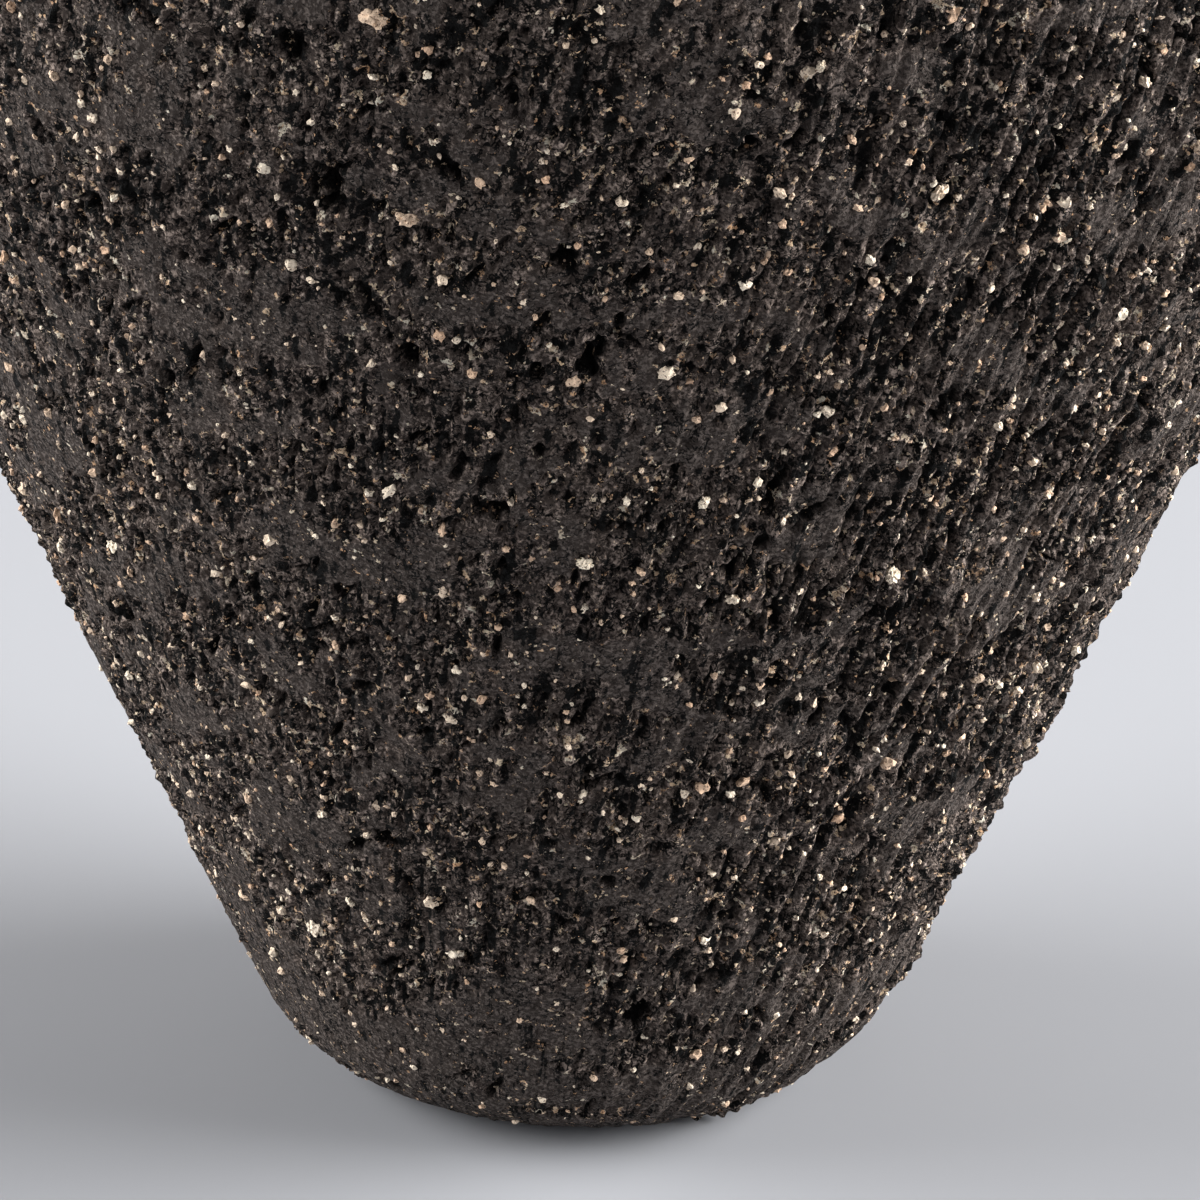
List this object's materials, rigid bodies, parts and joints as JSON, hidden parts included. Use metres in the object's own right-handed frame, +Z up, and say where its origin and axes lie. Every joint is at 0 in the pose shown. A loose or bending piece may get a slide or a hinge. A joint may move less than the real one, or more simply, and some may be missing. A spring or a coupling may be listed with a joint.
{
  "type": "stoneware vase",
  "caption": "Ovoid vase of dark, coarse grogged stoneware: narrow rounded foot, flaring torn-textured wall, full shoulder, small flared neck, glazed inside.",
  "frame": {"origin": "centre of the foot, on the surface that the vase stands on", "axes": "+Z up the vase's axis to the mouth; +X and +Y are any two level directions, as the form is round"},
  "size_m": [0.1552, 0.1552, 0.2298],
  "materials": {
    "clay": "matt, unglazed, torn and pitted coarse grogged clay with pale grog flecks",
    "liner_glaze": "glossy black liner glaze",
    "grog": "matt fired grog grains, cream to tan, lying in the clay's surface"
  },
  "bodies": {
    "root": {"base_disc": "clay", "foot_coil": "clay", "wall_coil_01": "clay", "wall_coil_02": "clay", "wall_coil_03": "clay", "wall_coil_04": "clay", "wall_coil_05": "clay", "wall_coil_06": "clay", "wall_coil_07": "clay", "wall_coil_08": "clay", "wall_coil_09": "clay", "wall_coil_10": "clay", "wall_coil_11": "clay", "wall_coil_12": "clay", "wall_coil_13": "clay", "wall_coil_14": "clay", "neck_coil": "clay", "rim_coil": "clay", "liner_glaze": "liner_glaze"}
  },
  "joints": []
}
